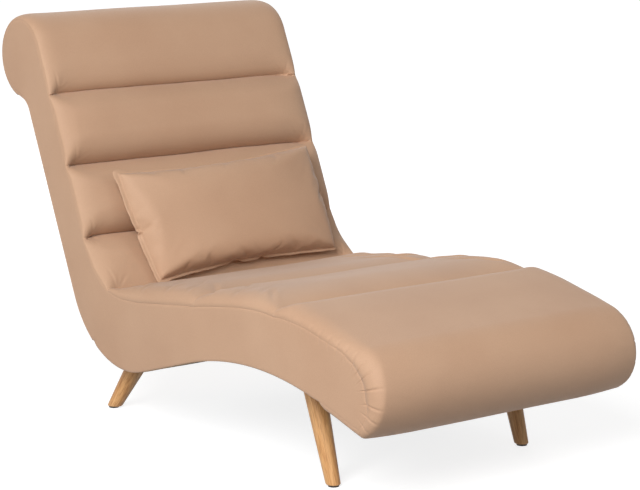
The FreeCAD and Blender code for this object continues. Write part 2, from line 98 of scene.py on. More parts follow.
def belt(rollers):
    """Runs of the belt: (start, heading, bend, length)."""
    headings = []
    for index, (y0, z0, r0) in enumerate(rollers):
        y1, z1, r1 = rollers[(index + 1) % len(rollers)]
        apart = math.hypot(y1 - y0, z1 - z0)
        headings.append(math.atan2(z1 - z0, y1 - y0) - math.asin((r1 - r0) / apart))
    runs = []
    for index, (y, z, r) in enumerate(rollers):
        arrive, leave = headings[index - 1], headings[index]
        sweep = (leave - arrive) % (2 * math.pi)
        if r < 0:
            sweep -= 2 * math.pi
        start = shifted((y, z), arrive, 0, r)
        end = shifted((y, z), leave, 0, r)
        next_y, next_z, next_r = rollers[(index + 1) % len(rollers)]
        landing = shifted((next_y, next_z), leave, 0, next_r)
        runs.append((start, arrive, 1 / r, abs(r * sweep)))
        runs.append((end, leave, 0.0, math.dist(end, landing)))
    return runs


def outline():
    reach = NOSE_RADIUS - TOE_RADIUS + TOE_SLACK
    angle = math.radians(TOE_ANGLE)
    toe = (NOSE_Y + reach * math.cos(angle), NOSE_HEIGHT + reach * math.sin(angle), TOE_RADIUS)
    neck_z = HEAD_Z - HEAD_RADIUS - NECK_RADIUS - NECK_GAP
    return belt([
        (LENGTH / 2 - HEEL_REACH, HEEL_HEIGHT + HEEL_RADIUS, HEEL_RADIUS),
        (HEAD_Y + NECK_SETBACK, neck_z, -NECK_RADIUS),
        (HEAD_Y, HEAD_Z, HEAD_RADIUS),
        (LENGTH / 2 - HOLLOW_REACH, HOLLOW_HEIGHT + HOLLOW_RADIUS, -HOLLOW_RADIUS),
        (-LENGTH / 2 + HUMP_REACH, HUMP_HEIGHT - HUMP_RADIUS, HUMP_RADIUS),
        (NOSE_Y, NOSE_HEIGHT, NOSE_RADIUS),
        toe,
        (-LENGTH / 2 + ARCH_REACH, ARCH_HEIGHT - ARCH_RADIUS, -ARCH_RADIUS),
    ])


class Profile:
    """The belt sampled finely, so that places on it can be read for whole arrays of stations."""

    def __init__(self, runs, step=0.001):
        stations, ys, zs, headings = [], [], [], []
        passed = 0.0
        turned = None
        for start, heading, bend, length in runs:
            count = max(2, int(length / step))
            for index in range(count):
                distance = length * index / count
                if bend == 0.0:
                    point, now = shifted(start, heading, distance, 0), heading
                else:
                    centre = shifted(start, heading, 0, -1 / bend)
                    now = heading + bend * distance
                    point = shifted(centre, now, 0, 1 / bend)
                if turned is not None:
                    now = turned + (now - turned + math.pi) % (2 * math.pi) - math.pi
                turned = now
                stations.append(passed + distance)
                ys.append(point[0])
                zs.append(point[1])
                headings.append(now)
            passed += length
        self.length = passed
        self.s = np.array(stations + [passed])
        self.y = np.array(ys + [ys[0]])
        self.z = np.array(zs + [zs[0]])
        self.heading = np.array(headings + [headings[0] + 2 * math.pi])

    def place(self, s, out):
        """Y and Z at stations s, moved outwards."""
        turns = np.floor(s / self.length)
        s = s - turns * self.length
        y = np.interp(s, self.s, self.y)
        z = np.interp(s, self.s, self.z)
        heading = np.interp(s, self.s, self.heading)
        return y + out * np.sin(heading), z - out * np.cos(heading)

    def nearest(self, y, z):
        return float(self.s[np.argmin((self.y - y) ** 2 + (self.z - z) ** 2)])


RUNS = outline()
SIDE = Profile(RUNS)

# The pads' lengths along the belt, from the neck over the head and down to the foot
HEAD_TAIL = 0.028
CREASE_LEAD = 0.046
LOWER_CHANNEL = 0.134
MIDDLE_CHANNEL = 0.181
UPPER_CHANNEL = 0.180
SEAT_PANEL = 0.351
SEAT_CHANNEL = 0.310
BOLSTER_END_REACH = 0.196
REAR_SPLIT = math.radians(36)
# The back's seams above the crease lie this much higher than the pads' lengths say
FOLD_LIFT = 0.003

NECK = sum(run[3] for run in RUNS[:3])
CREASE = SIDE.nearest(LENGTH / 2 - HOLLOW_REACH, HOLLOW_HEIGHT) - CREASE_LEAD
SEAMS = [
    NECK + HEAD_TAIL,
    CREASE - LOWER_CHANNEL - MIDDLE_CHANNEL - UPPER_CHANNEL - FOLD_LIFT,
    CREASE - LOWER_CHANNEL - MIDDLE_CHANNEL - FOLD_LIFT,
    CREASE - LOWER_CHANNEL - FOLD_LIFT,
    CREASE,
    CREASE + SEAT_PANEL,
    CREASE + SEAT_PANEL + SEAT_CHANNEL,
    SIDE.nearest(-LENGTH / 2 + BOLSTER_END_REACH, ARCH_HEIGHT),
]
NOSE = SIDE.nearest(NOSE_Y - NOSE_RADIUS, NOSE_HEIGHT)
TOE = SIDE.nearest(NOSE_Y, NOSE_HEIGHT - NOSE_RADIUS - TOE_RADIUS)
HEEL_Y = LENGTH / 2 - HEEL_REACH
SPLIT = SIDE.nearest(HEEL_Y + HEEL_RADIUS * math.sin(REAR_SPLIT),
                     HEEL_HEIGHT + HEEL_RADIUS * (1 - math.cos(REAR_SPLIT)))
PADS = ["head_roll_pad", "upper_back_channel", "middle_back_channel", "lower_back_channel",
        "seat_panel", "seat_channel", "foot_bolster"]
SEAT = PADS.index("seat_panel")
BOLSTER = PADS.index("foot_bolster")
BACK_SEAMS = range(1, SEAT + 1)

# Each pad's height over the outline where it is full, and its depth under the outline
CRESTS = dict(zip(PADS, (HEAD_CREST, 0.018, 0.016, 0.008, 0.0055, 0.0035, NOSE_CREST)))
PAD_DEPTHS = dict(zip(PADS, (0.026, 0.036, 0.036, 0.036, 0.040, 0.040, 0.043)))

# Each seam's groove: depth, how far the pads before and after it fall, and the fold over it
GROOVES = [
    (0.001, 0.010, 0.010, 0.0),
    (0.031, 0.076, 0.060, 0.0025),
    (0.0335, 0.076, 0.060, 0.0025),
    (0.0335, 0.076, 0.052, 0.0025),
    (0.0335, 0.064, 0.090, 0.002),
    (0.015, 0.090, 0.080, 0.0),
    (0.019, 0.120, 0.060, 0.0),
    (0.004, 0.030, 0.010, 0.0),
]

# Where the outer back's side seam starts, its depth there, and the underside's depth before it
REAR_START = SPLIT - 0.01
REAR_DROP = 0.007
UNDER_DROP = 0.004

# How far the side seam lies under the outline: station, depth
SEAM_DROPS = [
    (REAR_START, REAR_DROP), (NECK, 0.007), (SEAMS[0] + 0.05, 0.010), (SEAMS[0] + 0.38, 0.012),
    (SEAMS[1], 0.011), (SEAMS[3], 0.012), (SEAMS[4], 0.019), (SEAMS[4] + 0.12, 0.030),
    (SEAMS[5], 0.031), (SEAMS[6], 0.027), (SEAMS[6] + 0.12, 0.021), (SEAMS[6] + 0.24, 0.022),
    (NOSE - 0.10, 0.041), (NOSE, 0.043), (NOSE + 0.07, 0.024), (TOE, 0.012),
    (SEAMS[7], 0.006), (SEAMS[7] + 0.03, UNDER_DROP),
]
# How far inboard the top turns over to the side seam: station, reach
REACHES = [
    (SPLIT, 0.012), (SEAMS[0], 0.016), (SEAMS[0] + 0.10, 0.040), (SEAMS[1], 0.050),
    (SEAMS[3], 0.050), (SEAMS[4], 0.052), (SEAMS[5], 0.062), (SEAMS[6], 0.055), (NOSE - 0.10, 0.037),
    (NOSE, 0.022), (TOE, 0.014), (SEAMS[7], 0.010),
]
# The bolster's round is lower towards its sides: how much, and over what edge distance
NOSE_FALLS = [(SEAMS[6], 0.0), (NOSE - 0.10, 0.008), (NOSE, 0.010), (TOE, 0.005), (SEAMS[7], 0.0)]
NOSE_FALL_REACH = 0.15
# So are the back's channels
BROAD_REACH = 0.12
BROAD_FALL = 0.011
# The turn to the side seam: 2 is a quarter of an ellipse, and more is fuller
FULLNESS = 2.2
# The share of a groove's depth that the side seam follows
SEAM_NOTCH = 0.13
# A pad's fall to a groove: the long round's power, a fuller one where a pad of the back hangs over
# its groove, and the share of the long round, the rest being tight at the groove
ROUND = 2.0
OVERHANG = 2.15
LONG_ROUND = 0.88
TIGHT_ROUND = 8
# Towards the side a groove closes and its rounds grow shorter: by how much, over what distance
CLOSING = 0.75
CLOSING_REACH = 0.024
SHORTENING = 0.30
SHORTENING_REACH = 0.05
# Dimples at the ends of the back's grooves: edge distance, sizes, share of the groove's depth
DIMPLE_IN = 0.027
DIMPLE_LENGTH = 0.009
DIMPLE_WIDTH = 0.008
DIMPLE_SHARE = 0.04
# The fold over a groove starts in from the side, grows, and spans this share of the round
FOLD_START = 0.008
FOLD_GROWTH = 0.03
FOLD_SPAN = 1 / 1.5


def table_of(pairs, s):
    """Values at the stations s, read between the pairs of a table."""
    return np.interp(s, [p[0] for p in pairs], [p[1] for p in pairs])


def near_side(edge, reach):
    """1 at the side, falling straight to 0 at the reach."""
    return np.clip(1 - edge / reach, 0, 1)


# Brings the smoothed noise back to about -1 to 1
NOISE_GAIN = 1.6


def smooth_noise(shape, seed, cells):
    """Smooth noise between -1 and 1 on a grid, from a coarse seeded one."""
    rng = np.random.default_rng(seed)
    coarse = rng.uniform(-1, 1, (cells[0] + 3, cells[1] + 3))
    rows = np.linspace(0, cells[0], shape[0])
    cols = np.linspace(0, cells[1], shape[1])

    def weights(t):
        f = t - np.floor(t)
        return [((1 - f) ** 3) / 6, (3 * f ** 3 - 6 * f ** 2 + 4) / 6,
                (-3 * f ** 3 + 3 * f ** 2 + 3 * f + 1) / 6, f ** 3 / 6]

    ri = np.minimum(np.floor(rows).astype(int), cells[0] - 1)
    ci = np.minimum(np.floor(cols).astype(int), cells[1] - 1)
    rw, cw = weights(rows - ri), weights(cols - ci)
    out = np.zeros(shape)
    for a in range(4):
        for b in range(4):
            out += np.outer(rw[a], cw[b]) * coarse[np.ix_(ri + a, ci + b)]
    return out * NOISE_GAIN


def round_fall(share, power=ROUND):
    """1 at a groove, falling to 0 where the pad is full: a long round, tighter at the groove."""
    near = np.clip(1 - share, 0, 1)
    return LONG_ROUND * near ** power + (1 - LONG_ROUND) * (1 - np.sqrt(1 - near ** TIGHT_ROUND))


# The swell beside a crease: its height, place and width, in the crease's own depth and width
SWELL = 0.55
SWELL_AT = 1.7
SWELL_WIDTH = 1.3


def crease(s, x, at, length, width, angle):
    """A sharp dent with a swell on one side, turned by an angle from the station's direction."""
    ds = s - at[0]
    dx = x - at[1]
    along = (ds * math.cos(angle) + dx * math.sin(angle)) / length
    across = (-ds * math.sin(angle) + dx * math.cos(angle)) / width
    swell = SWELL * np.exp(-((across - SWELL_AT) / SWELL_WIDTH) ** 2)
    return np.exp(-along ** 2) * (np.exp(-across ** 2) - swell)


# Gathers on the side seam round the foot end: distance past the bolster's seam, size
GATHERS = [
    (0.060, 0.35), (0.098, 0.45), (0.132, 0.55), (0.164, 0.65), (0.195, 0.75), (0.224, 0.9),
    (0.252, 1.0), (0.281, 1.05), (0.312, 1.1), (0.345, 1.05), (0.388, 1.7), (0.436, 1.2),
    (0.470, 1.1), (0.503, 0.8),
]
GATHER_WIDTH = 0.0024
GATHER_SWELL = 0.20
GATHER_SWELL_WIDTH = 0.009


def gather_field(s):
    """Dents of the gathers along the seam, with a small swell between them."""
    dent = np.zeros_like(s)
    for past, size in GATHERS:
        away = s - (SEAMS[BOLSTER] + past)
        swell = GATHER_SWELL * np.exp(-(away / GATHER_SWELL_WIDTH) ** 2)
        dent += size * (np.exp(-(away / GATHER_WIDTH) ** 2) - swell)
    return dent


def clustered(first, last, step, edge_step, growth):
    """Positions from first to last: edge_step apart at both ends, growing to step inside."""
    marks = [0.0]
    total = last - first
    while marks[-1] < total / 2:
        near = min(marks[-1] / growth, 1.0)
        marks.append(marks[-1] + edge_step + (step - edge_step) * near)
    marks = np.array(marks) * (total / 2 / marks[-1])
    return first + np.concatenate([marks, (total - marks[::-1])[1:]])


# Spacing of the points: inside, at the ends, and the distance over which it grows
PAD_STEPS = (0.0045, 0.0007, 0.045)
BOLSTER_STEPS = (0.0025, 0.0008, 0.03)
X_MARKS = clustered(-HALF, HALF, 0.009, 0.0012, 0.15)


def mesh_from(name, points, faces, smooth=True):
    mesh = bpy.data.meshes.new(name)
    mesh.from_pydata([tuple(p) for p in points], [], faces)
    mesh.update()
    if smooth:
        mesh.polygons.foreach_set("use_smooth", np.ones(len(mesh.polygons), dtype=bool))
    piece = bpy.data.objects.new(name, mesh)
    bpy.context.scene.collection.objects.link(piece)
    return piece


def grid_faces(rows, cols, base=0, flip=False):
    faces = []
    for i in range(rows - 1):
        for j in range(cols - 1):
            a = base + i * cols + j
            quad = (a, a + 1, a + cols + 1, a + cols)
            faces.append(quad[::-1] if flip else quad)
    return faces


def rim_loop(rows, cols):
    loop = list(range(cols))
    loop += [i * cols + cols - 1 for i in range(1, rows)]
    loop += [(rows - 1) * cols + j for j in range(cols - 2, -1, -1)]
    loop += [i * cols for i in range(rows - 2, 0, -1)]
    return loop


def closed_pad(name, top, bottom):
    """A closed solid from two grids of points with the same rows and columns."""
    rows, cols = top.shape[:2]
    points = np.concatenate([top.reshape(-1, 3), bottom.reshape(-1, 3)])
    base = rows * cols
    faces = grid_faces(rows, cols)
    faces += grid_faces(rows, cols, base, flip=True)
    loop = rim_loop(rows, cols)
    for a, b in zip(loop, loop[1:] + loop[:1]):
        faces.append((b, a, base + a, base + b))
    return mesh_from(name, points, faces)


def pad_field(index, s, edge):
    """Height over the outline, shift along it, and how far the top has turned up from the side."""
    first, last = SEAMS[index], SEAMS[index + 1]
    crest = CRESTS[PADS[index]]
    depth_a, _, reach_a, _ = GROOVES[index]
    depth_b, reach_b, _, fold = GROOVES[index + 1]
    opened = 1 - CLOSING * np.exp(-(edge / CLOSING_REACH) ** 2)
    shorter = 1 - SHORTENING * np.exp(-(edge / SHORTENING_REACH) ** 2)
    fall_a = round_fall((s - first) / (reach_a * shorter))
    fall_b = round_fall((last - s) / (reach_b * shorter), OVERHANG if index < SEAT else ROUND)
    middle = crest - (crest + depth_a * opened) * fall_a - (crest + depth_b * opened) * fall_b
    if 0 < index < SEAT:
        middle -= BROAD_FALL * near_side(edge, BROAD_REACH) ** 2
    if index == BOLSTER:
        middle -= table_of(NOSE_FALLS, s) * near_side(edge, NOSE_FALL_REACH) ** 2
    seam = -table_of(SEAM_DROPS, s) - SEAM_NOTCH * (depth_a * fall_a + depth_b * fall_b)
    crown = (1 - near_side(edge, table_of(REACHES, s)) ** FULLNESS) ** (1 / FULLNESS)
    height = seam + (middle - seam) * crown
    for seam_index, depth in ((index, depth_a), (index + 1, depth_b)):
        if seam_index in BACK_SEAMS:
            away = (s - SEAMS[seam_index]) / DIMPLE_LENGTH
            inboard = (edge - DIMPLE_IN) / DIMPLE_WIDTH
            height -= DIMPLE_SHARE * depth * np.exp(-away ** 2 - inboard ** 2)
    along = np.clip((last - s) / reach_b, 0, 1)
    lap = np.clip((edge - FOLD_START) / FOLD_GROWTH, 0, 1)
    shift = fold * np.sin(np.pi * np.clip(along / FOLD_SPAN, 0, 1)) * lap
    return height, shift, crown


# Small creases at the ends of the back's grooves: directions of each fan, shortest and longest,
# distance in from the side, width and depth; the ones below a groove are smaller and shorter
TUCK_LEANS = (-0.15, 0.45, 0.95)
TUCK_LENGTHS = (0.014, 0.022)
TUCK_IN = 0.028
TUCK_WIDTH = 0.0030
TUCK_DEPTH = 0.0013
TUCK_ABOVE = (1.2, 1.0)
TUCK_BELOW = (0.8, 0.6)


def tuck_creases(index, s, x):
    """Small creases that fan out from the ends of the back's grooves."""
    dent = np.zeros_like(s)
    rng = np.random.default_rng(70 + index)
    for seam, sign in ((index, 1), (index + 1, -1)):
        if seam not in BACK_SEAMS:
            continue
        longer, deeper = TUCK_ABOVE if sign < 0 else TUCK_BELOW
        for side in (-1, 1):
            for lean in TUCK_LEANS:
                turn = lean + rng.uniform(-0.1, 0.1)
                length = rng.uniform(*TUCK_LENGTHS) * longer
                start = HALF - TUCK_IN - rng.uniform(0, 0.006)
                at = (SEAMS[seam] + sign * (0.004 + length * 0.8 * math.cos(turn)),
                      side * (start - length * 0.8 * math.sin(turn)))
                size = rng.uniform(0.6, 1.0) * deeper
                dent += size * crease(s, x, at, length, TUCK_WIDTH, -side * sign * turn)
    return dent


# Soft folds pulled into the seat's cover near its side edges: distance from the crease,
# distance in from the side, length, width, angle, depth
SEAT_FOLDS = [
    (0.055, 0.075, 0.050, 0.0075, 0.95, 0.0032), (0.100, 0.055, 0.042, 0.0070, 1.15, 0.0034),
    (0.150, 0.095, 0.062, 0.0080, 0.85, 0.0036), (0.196, 0.055, 0.040, 0.0065, 1.05, 0.0038),
    (0.238, 0.100, 0.058, 0.0080, 0.70, 0.0040), (0.276, 0.055, 0.036, 0.0060, 1.00, 0.0040),
    (0.318, 0.085, 0.050, 0.0070, 0.55, 0.0036), (0.372, 0.055, 0.040, 0.0065, 0.95, 0.0036),
    (0.424, 0.095, 0.058, 0.0080, 0.75, 0.0038), (0.470, 0.050, 0.036, 0.0060, 1.05, 0.0036),
    (0.526, 0.080, 0.050, 0.0070, 0.85, 0.0032), (0.582, 0.055, 0.038, 0.0060, 0.65, 0.0034),
]


def seat_folds(s, x):
    dent = np.zeros_like(s)
    for along, inward, length, width, angle, depth in SEAT_FOLDS:
        for side in (-1, 1):
            at = (CREASE + along, side * (HALF - inward))
            dent += depth * crease(s, x, at, length, width, angle * side)
    return dent


# How much higher than at its ends a seam of the back lies across the middle, and how quickly
SEAM_LIFTS = {1: 0.009, 2: 0.008, 3: 0.011}
SEAM_LIFT_REACH = 0.022
# How far a seam strays from its line, how far from the sides that starts, and how it dies away
WANDER = 0.0013
WANDER_REACH = 0.04
WANDER_FADE = 0.03


def seam_wander(index, x):
    """How far a seam strays along the body from its straight line, nought at the sides."""
    wave = smooth_noise((2, x.shape[1]), seed=51 + index, cells=(1, 16))[0]
    edge = HALF - np.abs(x)
    lift = SEAM_LIFTS.get(index, 0.0) * (1 - np.exp(-(edge / SEAM_LIFT_REACH) ** 1.5))
    return WANDER * wave * np.clip(edge / WANDER_REACH, 0, 1) - lift


# Unevenness of all the pads, and the seat's own
UNEVEN = 0.0012
SEAT_UNEVEN = 0.0014
# The gathers in the top: depth, sideways pull, how far in from the side they and the pull reach,
# and the share of the depth at the seam itself
GATHER_DEPTH = 0.0026
GATHER_PULL = 0.0022
GATHER_REACH = 0.012
PULL_REACH = 0.008
GATHER_AT_SEAM = 0.35
# How much narrower a pad is underneath than on top at each side, and its least thickness
UNDERCUT = 0.010
LEAST_DEPTH = 0.010


def on_belt(s, x, out):
    """Points at stations s and places x across, moved outwards from the belt."""
    y, z = SIDE.place(s, out)
    return np.stack([x, y, z], axis=-1)


def make_pad(index):
    name = PADS[index]
    first, last = SEAMS[index], SEAMS[index + 1]
    marks = clustered(first, last, *(BOLSTER_STEPS if index == BOLSTER else PAD_STEPS))
    s, x = np.meshgrid(marks, X_MARKS, indexing="ij")
    edge = HALF - np.abs(x)
    height, shift, crown = pad_field(index, s, edge)
    height -= TUCK_DEPTH * tuck_creases(index, s, x) * crown
    if name in ("seat_panel", "seat_channel"):
        height -= seat_folds(s, x) * crown
        height += SEAT_UNEVEN * smooth_noise(s.shape, seed=11 + index, cells=(9, 12)) * crown
    gather = gather_field(s) * np.exp(-(edge / GATHER_REACH) ** 1.5)
    height -= GATHER_DEPTH * gather * np.clip(GATHER_AT_SEAM + edge / PULL_REACH, 0, 1)
    height += UNEVEN * smooth_noise(s.shape, seed=31 + index, cells=(5, 7)) * crown
    pull = GATHER_PULL * gather * np.exp(-(edge / PULL_REACH) ** 2)
    if index > 0:
        shift += seam_wander(index, x) * np.exp(-(s - first) / WANDER_FADE)
    if index < BOLSTER:
        shift += seam_wander(index + 1, x) * np.exp(-(last - s) / WANDER_FADE)
    top = on_belt(s + shift, x - np.sign(x) * pull, height)
    under = np.minimum(-PAD_DEPTHS[name], height - LEAST_DEPTH)
    bottom = on_belt(s, x * (1 - UNDERCUT / HALF), under)
    piece = closed_pad(name + "_cover", top, bottom)
    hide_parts(name)
    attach(piece, "lounge")
    return piece


# The outer back: number of stations, thickness, unevenness
REAR_ROWS = 150
REAR_DEPTH = 0.012
REAR_UNEVEN = 0.0010


def make_rear():
    """Flat outer back and the underside of the head roll, in one sheet with turned edges."""
    s, x = np.meshgrid(np.linspace(SPLIT, SEAMS[0], REAR_ROWS), X_MARKS, indexing="ij")
    edge = HALF - np.abs(x)
    crown = (1 - near_side(edge, table_of(REACHES, s)) ** 2) ** 0.5
    height = -table_of(SEAM_DROPS, s) * (1 - crown)
    height += REAR_UNEVEN * smooth_noise(s.shape, seed=91, cells=(6, 5)) * crown
    top = on_belt(s, x, height)
    bottom = on_belt(s, x * (1 - UNDERCUT / HALF), np.full_like(s, -REAR_DEPTH))
    piece = closed_pad("outer_back_cover", top, bottom)
    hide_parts("rear_cover")
    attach(piece, "lounge")
    return piece


# The underside's lining: points along and across, distance in from the sides, its two faces'
# depths under the outline, and its unevenness
LINING_CELLS = (130, 61)
LINING_IN = 0.016
LINING_OUTER = 0.0035
LINING_INNER = 0.006
LINING_UNEVEN = 0.0006


def make_underside():
    marks = np.linspace(SEAMS[7], SIDE.length + SPLIT, LINING_CELLS[0])
    xs = np.linspace(-HALF + LINING_IN, HALF - LINING_IN, LINING_CELLS[1])
    s, x = np.meshgrid(marks, xs, indexing="ij")
    uneven = LINING_UNEVEN * smooth_noise(s.shape, seed=97, cells=(9, 7))
    top = on_belt(s, x, uneven - LINING_OUTER)
    bottom = on_belt(s, x, np.full_like(s, -LINING_INNER))
    piece = closed_pad("underside_lining", top, bottom)
    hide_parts("underside_cover")
    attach(piece, "lounge")
    return piece


# Side panels: spacing of the rim's points, also along the gathers; rings of points inside the rim,
# where they thin out, and the grid further in
RIM_STEP = 0.006
GATHER_STEP = 0.0022
RINGS = [0.0015, 0.0035, 0.007, 0.012, 0.019, 0.028, 0.040]
SPARSE_RING = 0.013
GRID_STEP = 0.014
GRID_IN = 0.048
PANEL_DEPTH = 0.010
# The panel's turned edge, dome, gathers and waves: height and how far in each reaches
PANEL_TURN = (0.0014, 0.0045)
PANEL_DOME = (0.0012, 0.06)
PANEL_GATHER = (0.0022, 0.013)
PANEL_WAVES = (0.00022, 0.05)


def side_rim():
    """Stations round the whole belt and the panel's seam there, for the side panels."""
    marks = [0.0]
    while marks[-1] < SIDE.length:
        gathered = SEAMS[BOLSTER] + 0.03 < marks[-1] < TOE + 0.02
        marks.append(marks[-1] + (GATHER_STEP if gathered else RIM_STEP))
    marks = np.array(marks[:-1])
    lifted = np.where(marks < REAR_START, marks + SIDE.length, marks)
    rear = SIDE.length + REAR_START
    depth = table_of(SEAM_DROPS + [(rear - 0.01, UNDER_DROP), (rear, REAR_DROP)], lifted)
    for seam, (groove, before, after, _) in list(zip(SEAMS, GROOVES))[1:-1]:
        fall = np.where(marks < seam, round_fall((seam - marks) / (0.7 * before)),
                        round_fall((marks - seam) / (0.7 * after)))
        depth = depth + SEAM_NOTCH * groove * fall
    y, z = SIDE.place(marks, -depth)
    return marks, np.stack([y, z], axis=-1)


def nearest_run(rim, p):
    """Distance from a point to a closed outline, and the number of the outline's nearest run."""
    run = np.roll(rim, -1, axis=0) - rim
    share = np.clip(((p - rim) * run).sum(1) / np.maximum((run ** 2).sum(1), 1e-12), 0, 1)
    gap = np.linalg.norm(rim + run * share[:, None] - p, axis=1)
    nearest = int(np.argmin(gap))
    return gap[nearest], nearest


def is_inside(rim, p):
    """True if a point lies inside a closed outline."""
    a, b = rim, np.roll(rim, -1, axis=0)
    crosses = (a[:, 1] > p[1]) != (b[:, 1] > p[1])
    rise = np.where(crosses, b[:, 1] - a[:, 1], 1)
    cut = (b[:, 0] - a[:, 0]) * (p[1] - a[:, 1]) / rise + a[:, 0]
    return bool(np.sum(crosses & (p[0] < cut)) % 2)


def panel_points(rim, marks):
    """The panel's points, each with its distance from the rim and the station nearest to it."""
    along = np.roll(rim, -1, axis=0) - np.roll(rim, 1, axis=0)
    along /= np.linalg.norm(along, axis=1)[:, None]
    inward = np.stack([-along[:, 1], along[:, 0]], axis=-1)
    kept = [(tuple(p), 0.0, m) for p, m in zip(rim, marks)]
    for ring in RINGS:
        step = 1 if ring < SPARSE_RING else 2
        for p, m in list(zip(rim + inward * ring, marks))[::step]:
            gap, _ = nearest_run(rim, p)
            if gap > ring * 0.93:
                kept.append((tuple(p), gap, m))
    low, high = rim.min(0), rim.max(0)
    for i in range(int((high[0] - low[0]) / GRID_STEP)):
        for j in range(int((high[1] - low[1]) / GRID_STEP)):
            p = low + np.array([i + 0.5 * (j % 2), j]) * GRID_STEP
            gap, run = nearest_run(rim, p)
            if gap > GRID_IN and is_inside(rim, p):
                kept.append((tuple(p), gap, marks[run]))
    return kept


def panel_waves(side, places):
    """Shallow waves in all directions."""
    rng = np.random.default_rng(5 + side)
    waves = np.zeros(len(places))
    for _ in range(14):
        direction = rng.uniform(0, math.pi)
        across = places[:, 0] * math.cos(direction) + places[:, 1] * math.sin(direction)
        waves += np.sin(across * rng.uniform(8, 26) + rng.uniform(0, 6.28))
    return waves


def two_sheets(faces, total, flip):
    """Faces of an outer sheet, of an inner one whose points follow it, and of the rim between."""
    sheets = []
    edges = set()
    for face in faces:
        back = tuple(total + v for v in face)
        sheets.append(tuple(face) if flip else tuple(face[::-1]))
        sheets.append(back[::-1] if flip else back)
        edges.update(zip(face, [*face[1:], face[0]]))
    for a, b in sorted(edges):
        if (b, a) not in edges:
            quad = (b, a, total + a, total + b)
            sheets.append(quad if flip else quad[::-1])
    return sheets


def make_side(side, name):
    """Flat side panel, slightly padded, its edge turned in at the seam all round."""
    marks, rim = side_rim()
    kept = panel_points(rim, marks)
    count = len(marks)
    rim_edges = [(i, (i + 1) % count) for i in range(count)]
    made = geometry.delaunay_2d_cdt([Vector(p) for p, _, _ in kept], rim_edges, [], 1, 1e-6)
    faces, origins = made[2], made[3]
    places = np.array([tuple(p) for p in made[0]])
    gaps = np.array([kept[o[0]][1] if o else 0.0 for o in origins])
    at = np.array([kept[o[0]][2] if o else 0.0 for o in origins])
    turn = PANEL_TURN[0] * near_side(gaps, PANEL_TURN[1]) ** 2
    dome = PANEL_DOME[0] * (1 - np.exp(-gaps / PANEL_DOME[1]))
    gather = PANEL_GATHER[0] * gather_field(at) * np.exp(-(gaps / PANEL_GATHER[1]) ** 1.4)
    gather *= np.clip(0.3 + gaps / 0.006, 0, 1)
    waves = PANEL_WAVES[0] * panel_waves(side, places) * np.clip(gaps / PANEL_WAVES[1], 0, 1)
    out = HALF - turn + dome - gather + waves
    outer = [(side * o, p[0], p[1]) for o, p in zip(out, places)]
    inner = [(side * (HALF - PANEL_DEPTH), p[0], p[1]) for p in places]
    sheets = two_sheets(faces, len(outer), side > 0)
    piece = mesh_from(name + "_panel", outer + inner, sheets)
    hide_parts(name)
    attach(piece, "lounge")
    return piece


# Lumbar cushion: two panels sewn together, inflated by simulation, with a flat sewn edge
CUSHION_WIDTH = 0.576
CUSHION_HEIGHT = 0.284
CUSHION_FRONT = 0.060
CUSHION_BACK = 0.047
CUSHION_EDGE = 0.0055
CUSHION_CELLS = (86, 44)
CUSHION_FRAMES = 13
CUSHION_FULLNESS = 0.75
CUSHION_LEAN = math.radians(65.5)
CUSHION_ROLL = math.radians(2.0)
CUSHION_CENTRE = (0.0136, 0.3130, 0.4528)
# The flat panels as cut: half sizes, how far their sides bow out, and the rise they start with
CUT_HALF = (0.300, 0.155)
CUT_BOW = (0.035, 0.085)
CUT_RISE = 0.012
# The end at the viewer's left leans: its lower corner lies further in, its upper one further out
LEAN_IN = 0.033
LEAN_OUT = 0.004


def cushion_grid():
    """Points and faces of the two flat panels, and for each point of the seam its own number and
    those of its neighbours in front and behind."""
    cols, rows = CUSHION_CELLS[0] + 1, CUSHION_CELLS[1] + 1
    points, faces = [], []
    front = np.zeros((cols, rows), int)
    back = np.zeros((cols, rows), int)
    for i in range(cols):
        for j in range(rows):
            a, b = 2 * i / (cols - 1) - 1, 2 * j / (rows - 1) - 1
            rise = CUT_RISE * (1 - a * a) * (1 - b * b)
            at = (a * CUT_HALF[0] * (1 + CUT_BOW[0] * (1 - b * b)),
                  b * CUT_HALF[1] * (1 + CUT_BOW[1] * (1 - a * a)))
            front[i, j] = len(points)
            points.append((*at, rise))
            back[i, j] = front[i, j]
            if abs(a) < 1 and abs(b) < 1:
                back[i, j] = len(points)
                points.append((*at, -rise))
    for i in range(cols - 1):
        for j in range(rows - 1):
            faces.append((front[i, j], front[i + 1, j], front[i + 1, j + 1], front[i, j + 1]))
            faces.append((back[i, j], back[i, j + 1], back[i + 1, j + 1], back[i + 1, j]))
    rim = [(at % cols, at // cols) for at in rim_loop(rows, cols)]
    inner = [(min(max(i, 1), cols - 2), min(max(j, 1), rows - 2)) for i, j in rim]
    ids = [(front[at], front[near], back[near]) for at, near in zip(rim, inner)]
    return points, faces, ids


def inflate(piece, frames):
    """The piece's points after some frames of cloth under pressure."""
    cloth = piece.modifiers.new("cloth", "CLOTH")
    cloth.settings.quality = 5
    cloth.settings.mass = 0.3
    cloth.settings.use_pressure = True
    cloth.settings.uniform_pressure_force = 5
    cloth.settings.tension_stiffness = 30
    cloth.settings.compression_stiffness = 30
    cloth.settings.shear_stiffness = 12
    cloth.settings.bending_stiffness = 2.5
    cloth.settings.effector_weights.gravity = 0
    cloth.collision_settings.use_collision = False
    for frame_number in range(1, frames + 1):
        bpy.context.scene.frame_set(frame_number)
    graph = bpy.context.evaluated_depsgraph_get()
    shaped = piece.evaluated_get(graph).to_mesh()
    places = np.array([v.co[:] for v in shaped.vertices])
    piece.evaluated_get(graph).to_mesh_clear()
    piece.modifiers.remove(cloth)
    bpy.context.scene.frame_set(1)
    return places


